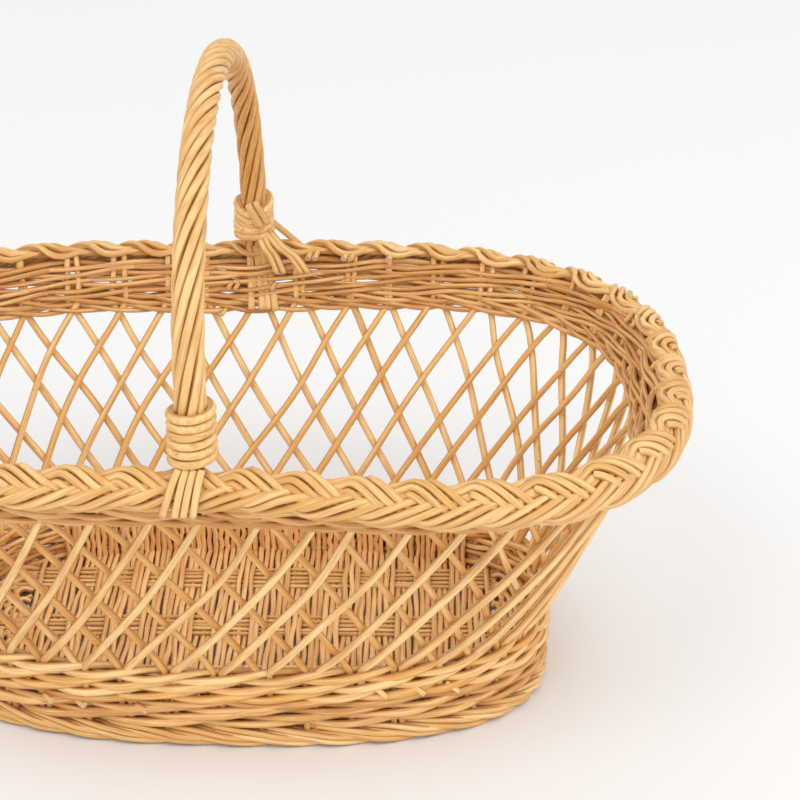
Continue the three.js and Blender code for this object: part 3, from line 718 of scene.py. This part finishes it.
def rim_plait():
    """Three-strand plait of rods side by side: across = middle - swing zigzag(p), p = t - skew cos t and
    t = 2 pi turns, so a strand falls outwards faster than it rises back. A rod lies on top above the middle
    line while it falls and below that line while it rises, and under the other strands elsewhere:
    lift = -height tanh(2 sin p) tanh(2.2 shift / swing). The last step of a rod runs into its start."""
    rods = Rods()
    period = 3 / HUMPS
    steps = HUMPS * PLAIT_STEPS
    share = 0.5 + np.arange(steps + 2) / steps
    x = TOP.at_share(share)[0][:, 0]
    grown = 1 + GROWTH_AT_ENDS * (x / TOP_PLAN["half_length"]) ** 2 + GROWTH_AT_LOW_END * near_end(x)
    middle = (PLAIT_INNER + PLAIT_OUTER * grown) / 2
    swing = PLAIT_SWING * (2 * grown - 1)
    length = TOP.way[-1] * PLAIT_GIRTH
    for strand in range(3):
        for rod in range(PLAIT_RODS):
            turns = ((share + 0.5 / HUMPS) / period - strand / 3)[None]
            t = 2 * np.pi * turns
            p = t - PLAIT_SKEW * np.cos(t)
            spread = 2 * PLAIT_ROD * ROD_PACKING * (1 + 0.25 * (grown - 1))
            place = (rod - (PLAIT_RODS - 1) / 2) * spread
            slope = swing * steepness(p) * (1 + PLAIT_SKEW * np.sin(t)) * 2 * np.pi / (period * length)
            angle = np.arctan(slope)
            shift = place * np.cos(angle) - swing * zigzag(p) + wander(t.shape, 40, 0.3)
            across = middle + shift
            along = share[None] - place * np.sin(angle) / length
            lift = -PLAIT_LIFT * np.tanh(2 * np.sin(p)) * np.tanh(2.2 * shift / swing)
            lift = lift - CROWN * place**2 + wander(t.shape, 40, 0.2)
            offset, z, normal_out, normal_up = plait_section(across, along)
            points, out = on_rim(along, offset + lift * normal_out, z + lift * normal_up)
            out = out * normal_out[..., None] + np.array([0, 0, 1.0]) * normal_up[..., None]
            thick = PLAIT_ROD * stroke_values(turns - 0.3, 0.94, 1.05)
            rods.add(points, out, thick, stroke_values(turns - 0.3, 0, 1))
    for stake in BORDER_BUTTS:
        butt(rods, (stake, 181.5, 1), (stake + 0.12, 179.5, -6.5), 1.7)
    make_piece("rim_plait", rods, PALE, ["rim_border"])


# Handle pieces

def foot_of_hoop(stake):
    """Place on the plan where a foot of the hoop stands, outside the stakes."""
    spot, out = TOP.at(np.array(float(stake)))
    return spot + out * HOOP_OUT


FRONT_FOOT = foot_of_hoop(FRONT_STAKE)
BACK_FOOT = foot_of_hoop(BACK_STAKE)
HOOP_FOOT_Z = BORDER_TOP + 0.3
HOOP_TOP_Z = HANDLE_OVERALL - ROPE_RADIUS


def hoop_line(steps):
    """Middle line of the hoop at even distances from its front foot: two posts and half an ellipse."""
    middle = (FRONT_FOOT + BACK_FOOT) / 2
    half = (BACK_FOOT - FRONT_FOOT) / 2
    angle = np.linspace(0, np.pi, 400)
    lean = np.array([HOOP_LEAN, 0]) * np.sin(angle)[:, None]
    arch = np.concatenate([
        middle - half * np.cos(angle)[:, None] + lean,
        (HOOP_SPRING + (HOOP_TOP_Z - HOOP_SPRING) * np.sin(angle))[:, None]], 1)
    line = np.concatenate([[[*FRONT_FOOT, HOOP_FOOT_Z]], arch, [[*BACK_FOOT, HOOP_FOOT_Z]]])
    way = np.append(0, np.cumsum(np.linalg.norm(np.diff(line, axis=0), axis=1)))
    even = np.linspace(0, way[-1], steps)
    return np.stack([np.interp(even, way, line[:, axis]) for axis in range(3)], -1), even


# Twist of the rope in radians for each millimetre, its taper to the back, and the radius of its core
ROPE_TWIST = 0.034
ROPE_TWIST_MORE = 0.045
ROPE_TAPER = 0.07
ROPE_CORE = 3.6


def handle():
    """Rope of rods round the hoop line over a core that fills its middle. It is laid steeper at the top, by
    rate = twist + more sin^2 (pi share), and thins towards the back."""
    line, way = hoop_line(420)
    along = unit(np.gradient(line, axis=0))
    side = unit(np.append(BACK_FOOT - FRONT_FOOT, 0))
    square = np.cross(side, [0, 0, 1.0])
    out = unit(np.cross(along, square))
    third = np.cross(along, out)
    share = way / way[-1]
    rate = ROPE_TWIST + ROPE_TWIST_MORE * np.sin(np.pi * share) ** 2
    twist = np.append(0, np.cumsum(rate[1:] * np.diff(way)))
    rods = Rods()
    angle = twist[None] + 2 * np.pi * np.arange(ROPE_RODS)[:, None] / ROPE_RODS
    angle = angle + wander(angle.shape, 9, 0.06)
    thin = 1 - ROPE_TAPER * share[None]
    radius = ROPE_ROD * thin * (1 + wander(angle.shape, 7, 0.05))
    ring = np.cos(angle)[..., None] * out + np.sin(angle)[..., None] * third
    # Each rod's tone differs at random, and painted shade deepens the rope towards the back leg, away from
    # the lamps
    shade = np.clip(chance.uniform(0, 0.5, (ROPE_RODS, 1)) + 0.7 * share[None] ** 2, 0, 1)
    rods.add(line + (ROPE_RADIUS * thin - radius)[..., None] * ring, ring, radius, shade, sides=12)
    rods.add(line[None], out[None], ROPE_CORE)
    make_piece("handle_rope", rods, PALE, ["handle_hoop"])


# Rods of a leg: stake numbers from the foot of the hoop at their upper and lower ends, and how far they
# stop above the end of the leg in the frame
LEG_RODS = ((0.14, 0.1, 4.7), (0.03, -0.14, 4.6), (-0.06, -0.27, 4.8), (-0.15, -0.43, 4))
LEG_ROD = 2.2
LEG_LAP = 12
LEG_INWARD = 5.4


def handle_legs():
    """Rods of the handle that run down inside the band behind the siding and end cut below it. They start
    under the rope, come in to the middle of the band half way down and lean in at their lower ends."""
    rods = Rods()
    share = np.linspace(0, 1, 24)
    for stake in (FRONT_STAKE, BACK_STAKE):
        for first, last, low in LEG_RODS:
            z = HOOP_FOOT_Z + LEG_LAP + (LEG_END + low - HOOP_FOOT_Z - LEG_LAP) * share
            start = HOOP_OUT - BAND_LEAN * (HOOP_FOOT_Z + LEG_LAP - LATTICE_TOP)
            offset = start * np.clip(1 - share * 2.1, 0, 1) - LEG_INWARD * np.clip(share * 4 - 2.9, 0, 1)
            number = stake + first + (last - first) * share
            points, out = on_side(number[None], z[None], offset[None])
            rods.add(points, out, LEG_ROD, chance.uniform(0, 0.5, (1, 1)))
    make_piece("handle_legs", rods, PALE, [])


# Steps for each turn of a binding
TURN_STEPS = 40


def winding(name, foot, around, turns, low, pitch, swell, dip, extra=()):
    """Rod wound at the radius around over a foot of the hoop, turn n being pitch n above low. On the side
    that faces the front, turn n is drawn down by dip(n) and stands swell(n) further out. Each extra rod runs
    straight between two places given from the foot."""
    rods = Rods()
    turn = np.linspace(0, turns, turns * TURN_STEPS + 1)
    angle = 2 * np.pi * turn + np.pi / 2
    facing = ((1 + np.cos(angle + np.pi / 2)) / 2) ** 2
    z = low + pitch * turn - dip(turn) * facing + wander((1, len(turn)), 12, 0.35)[0]
    radius = around + swell(turn) * facing + wander((1, len(turn)), 12, 0.25)[0]
    ring = np.stack([np.cos(angle), np.sin(angle), np.zeros_like(angle)], -1)
    points = np.concatenate([foot + ring[:, :2] * radius[:, None], z[:, None]], 1)
    shade = 0.25 + 0.25 * np.sin(1.3 * np.pi * turn[None])
    rods.add(points[None], ring[None], BINDING_ROD, shade, sides=10)
    for start, end, thick in extra:
        share = np.linspace(0, 1, 8)[:, None]
        line = np.array([*foot, 0]) + np.array(start) + (np.array(end) - np.array(start)) * share
        rods.add(line[None], np.array([0, -1.0, 0]), thick, np.array([[0.0]]))
    make_piece(name + "_rod", rods, PALE, [name])


def front_winding():
    """Six level turns that swell a little towards the border."""
    winding("front_binding", FRONT_FOOT, around=9.8, turns=6, low=190.2, pitch=4.5,
            swell=lambda turn: np.clip(1 - turn / 3, 0, 1), dip=lambda turn: 0 * turn)


# Pale rods that draw the upper turns down, and the rod that goes behind the border: two ends and a radius
BACK_SKEINS = (((-1.6, -13.2, 217), (5.4, -14, 203.5), 1.7), ((2, -13.2, 218.5), (9, -13, 205), 1.7),
               ((-2.8, -12.6, 216), (3.4, -13.4, 203), 1.3), ((10, 5, 199), (25, 8, 184), 1.9))


def back_winding():
    """Two level turns and, above them, four that are drawn down in the middle by flat pale rods."""
    winding("back_binding", BACK_FOOT, around=9.1, turns=6, low=194, pitch=3.85,
            swell=lambda turn: 1.4 * np.clip(2.6 - turn, 0, 1),
            dip=lambda turn: 6.5 * np.clip(turn - 1.9, 0, 1), extra=BACK_SKEINS)


TAIL_STEPS = 16


def tails(name, stake, places, starts, ends, radius, nodes):
    """Rod ends side by side that leave a binding and lie over the border. They share their places, given by
    offset and height, and each shifts round the basket from its start to its end."""
    rods = Rods()
    share = np.linspace(0, 1, TAIL_STEPS)
    knots = np.linspace(0, 1, len(places))
    offset = np.interp(share, knots, [place[0] for place in places])
    z = np.interp(share, knots, [place[1] for place in places])
    rounded = np.array([0.25, 0.5, 0.25])
    offset[1:-1] = np.convolve(offset, rounded, "valid")
    z[1:-1] = np.convolve(z, rounded, "valid")
    spot, out = TOP.at(np.array(float(stake)))
    round_it = np.array([-out[1], out[0]])
    for start, end in zip(starts, ends):
        shift = start + (end - start) * share
        plan = spot + out * offset[:, None] + round_it * shift[:, None]
        points = np.concatenate([plan, z[:, None]], 1)
        rods.add(points[None], np.array([*out, 0.3]), radius, chance.uniform(0, 0.3, (1, 1)))
    make_piece(name, rods, PALE, nodes)


def front_tails():
    """Four cut ends that sweep down to the left over the outside of the border."""
    tails("front_tail_rods", FRONT_STAKE, places=[(19.4, 189.5), (22.4, 184), (25.6, 176.5), (26, 168)],
          starts=[-5.6, -2.0, 1.6, 5.2], ends=[-13.2, -7.5, -3.4, 1.0], radius=1.9, nodes=["front_tails"])


def back_tails():
    """Four cut ends in two pairs over the inside of the band."""
    tails("back_tail_rods", BACK_STAKE, places=[(1.5, 198), (-2.4, 190.5), (-1.2, 184.5), (-2.2, 174)],
          starts=[-1.5, -4.4, -6.4, -9.4], ends=[-12.6, -16.4, -26.6, -30.6], radius=1.75,
          nodes=["back_tails"])


# Base pieces

# Middle lines of the base, swing of its cross rods, rows, fanned sticks, swing and roundness of its ends,
# the number of the last turned-up rod each way, and the sticks of a bundle with half their width
BASE_LINE = FOOT_PLAN["middle"][1]
BASE_MIDDLE = (BASE_BOTTOM + BASE_TOP) / 2
CROSS_SWING = 2.1
END_ROWS = 11
END_FAN = 5
END_SWING = 1.9
END_ROUND_X, END_ROUND_Y = 0.75, 0.85
TURNED_UP = 34
BUNDLE_STICKS = 5
BUNDLE_HALF = 8.6
UPWARDS = [0, 0, 1.0]


def foot_width():
    """Half width of the inside of the foot against x, for np.interp."""
    upper = FOOT.y >= BASE_LINE
    order = np.argsort(FOOT.x[upper])
    return FOOT.x[upper][order], np.maximum(FOOT.y[upper][order] - BASE_LINE - 3.5, 3)


def base():
    """Rods across the width, three by three over and under bundles of sticks along the length:
    z = middle + swing cos(pi (y / spacing + group)). Both ends of the base are woven round."""
    reach = int(CROSS_REACH / CROSS_GROUP_WIDTH * CROSS_PER_GROUP)
    number = np.arange(-reach, reach + 1)
    group = np.round(number / CROSS_PER_GROUP)
    x = CROSS_MIDDLE + number * CROSS_GROUP_WIDTH / CROSS_PER_GROUP
    width = np.interp(x, *foot_width())
    y = BASE_LINE + width[:, None] * np.linspace(-1, 1, 61)
    z = BASE_MIDDLE + CROSS_SWING * np.cos(np.pi * ((y - BASE_LINE) / BUNDLE_SPACING + group[:, None]))
    z = z + wander(y.shape, 6, 0.25)
    across = x[:, None] + wander(y.shape, 5, 0.4)
    points = np.stack([across, y, z], -1)
    rods = Rods()
    radius = chance.uniform(1.45, 1.8, (len(x), 1))
    rods.add(points, np.broadcast_to(UPWARDS, points.shape), radius, sides=6)
    for side in (-1, 1):
        base_end(rods, side)
    make_piece("base_cross_rods", rods, BASE, ["base_weave"])
    for number in range(3):
        base_bundle(number, (FOOT_PLAN["half_length"] - 5) * (0.98 if number == 1 else 0.9))


def base_end(rods, side):
    """Woven end of the base: rows round fanned sticks, each row a smaller copy of the plan's end. They turn
    back beside the last cross rod, and z = middle + swing cos(7 turn + pi row)."""
    edge = CROSS_MIDDLE + side * (CROSS_REACH + 2)
    tip = FOOT_PLAN["middle"][0] + side * (FOOT_PLAN["half_length"] - 6)
    half = np.interp(edge, *foot_width())
    turn = np.linspace(-np.pi / 2, np.pi / 2, 41)[None]
    size = np.linspace(0.1, 1, END_ROWS)[:, None]
    x = edge + (tip - edge) * size * np.abs(np.cos(turn)) ** END_ROUND_X
    y = BASE_LINE + half * size * power(np.sin(turn), END_ROUND_Y)
    z = BASE_MIDDLE + END_SWING * np.cos(7 * turn + np.pi * np.arange(END_ROWS)[:, None])
    points = np.stack([x + wander(x.shape, 9, 0.4), y, z + wander(x.shape, 9, 0.2)], -1)
    radius = chance.uniform(1.5, 1.85, (END_ROWS, 1))
    rods.add(points, np.broadcast_to(UPWARDS, points.shape), radius, sides=6)
    fan = np.linspace(-1.1, 1.1, END_FAN)[:, None]
    share = np.linspace(0, 1, 12)[None]
    x = edge + (tip - edge) * share * np.cos(fan) ** END_ROUND_X
    y = BASE_LINE + half * share * power(np.sin(fan), END_ROUND_Y)
    points = np.stack(np.broadcast_arrays(x, y, BASE_MIDDLE + wander(x.shape, 3, 0.2)), -1)
    rods.add(points, np.broadcast_to(UPWARDS, points.shape), 1.7, sides=6)


def turned_up_ends():
    """Ends of the base rods that stand close together against the inside of the siding and the wale."""
    rods = Rods()
    number = np.arange(-TURNED_UP, TURNED_UP + 1)
    for side in (-1, 1):
        x = CROSS_MIDDLE + number * CROSS_GROUP_WIDTH / CROSS_PER_GROUP + chance.normal(0, 0.3, len(number))
        y = BASE_LINE + side * (np.interp(x, *foot_width()) - 3.2)
        z = np.linspace(BASE_TOP - 4, LATTICE_BOTTOM - 4, 12)
        lean = wander((len(number), len(z)), 3, 0.5)
        points = np.stack(np.broadcast_arrays(x[:, None] + lean, y[:, None], z), -1)
        out = np.broadcast_to([0, -side, 0.0], points.shape)
        rods.add(points, out, chance.uniform(1.4, 1.75, (len(number), 1)), sides=6)
    make_piece("base_rod_ends", rods, BASE, [])


def base_bundle(number, reach):
    """Five thin sticks along the length, spread a little apart."""
    rods = Rods()
    way = np.linspace(-reach, reach, 40)
    line = BASE_LINE + (number - 1) * BUNDLE_SPACING
    shape = (BUNDLE_STICKS, len(way))
    y = line + np.linspace(-BUNDLE_HALF, BUNDLE_HALF, BUNDLE_STICKS)[:, None] + wander(shape, 4, 0.5)
    points = np.stack(np.broadcast_arrays(way[None], y, BASE_MIDDLE - 0.2 + wander(shape, 4, 0.2)), -1)
    rods.add(points, np.broadcast_to(UPWARDS, points.shape), 1.45, sides=6)
    name = f"base_bundle_{number + 1}"
    make_piece(name + "_sticks", rods, PALE, [name])


# Studio

# Size of the floor in metres, and the strength of the white sky
FLOOR_SIZE = 12
SKY_STRENGTH = 0.91


def studio():
    """Pale floor under an even white sky, with soft lamps from both sides and from low in front."""
    bpy.ops.mesh.primitive_plane_add(size=FLOOR_SIZE, location=(0, 0, 0))
    floor = bpy.context.object
    floor.name = "studio_floor"
    g = Graph("studio_floor")
    speckle = g.node("ShaderNodeTexNoise", {"Scale": 3.0}).outputs[0]
    g.put(g.mix(speckle, linear(237, 237, 237), linear(239, 239, 239)), g.shader.inputs["Base Color"])
    g.shader.inputs["Roughness"].default_value = 0.9
    floor.data.materials.append(g.material)
    world = bpy.context.scene.world or bpy.data.worlds.new("studio")
    bpy.context.scene.world = world
    world.use_nodes = True
    sky = world.node_tree.nodes["Background"]
    sky.inputs[0].default_value = (1, 1, 1, 1)
    sky.inputs[1].default_value = SKY_STRENGTH
    area_light("key", place=(-1.2, -2.0, 3.5), power=25, size=1.8)
    area_light("side", place=(2.4, -1.6, 2.9), power=31, size=1.8)
    area_light("front", place=(0.3, -3.4, 1.1), power=12, size=2.0)


LIT_PLACE = (0, 0, 0.1)


def area_light(name, place, power, size):
    """Square lamp turned towards the middle of the basket, with its place in metres and power in watts."""
    light = bpy.data.lights.new(name, "AREA")
    light.energy = power
    light.size = size
    made = bpy.data.objects.new(name, light)
    made.location = place
    made.rotation_euler = (Vector(LIT_PLACE) - Vector(place)).to_track_quat("-Z", "Y").to_euler()
    bpy.context.scene.collection.objects.link(made)


# Place in millimetres, angles in radians
CAMERA_PLACE = (98.1, -1044.6, 684.3)
CAMERA_YAW = -0.0122
CAMERA_PITCH = 0.4693
CAMERA_LENS = 100.2


def camera():
    """Camera fitted to the outlines in the photograph: yaw turns it about Z, pitch tips it down."""
    yaw, pitch = CAMERA_YAW, CAMERA_PITCH
    forward = Vector((np.sin(yaw) * np.cos(pitch), np.cos(yaw) * np.cos(pitch), -np.sin(pitch)))
    right = Vector((np.cos(yaw), -np.sin(yaw), 0))
    turned = Matrix([right, right.cross(forward), -forward]).transposed().to_4x4()
    lens = bpy.data.cameras.new("camera")
    lens.lens = CAMERA_LENS
    lens.sensor_width = 36
    made = bpy.data.objects.new("camera", lens)
    made.matrix_world = Matrix.Translation(Vector(CAMERA_PLACE) * METRES) @ turned
    bpy.context.scene.collection.objects.link(made)
    bpy.context.scene.camera = made
    bpy.context.scene.view_settings.view_transform = "Standard"


camera()
studio()
foot_border()
lower_siding()
lower_wale()
base()
turned_up_ends()
stakes()
upper_wale()
upper_siding()
rim_plait()
handle()
handle_legs()
front_winding()
back_winding()
front_tails()
back_tails()
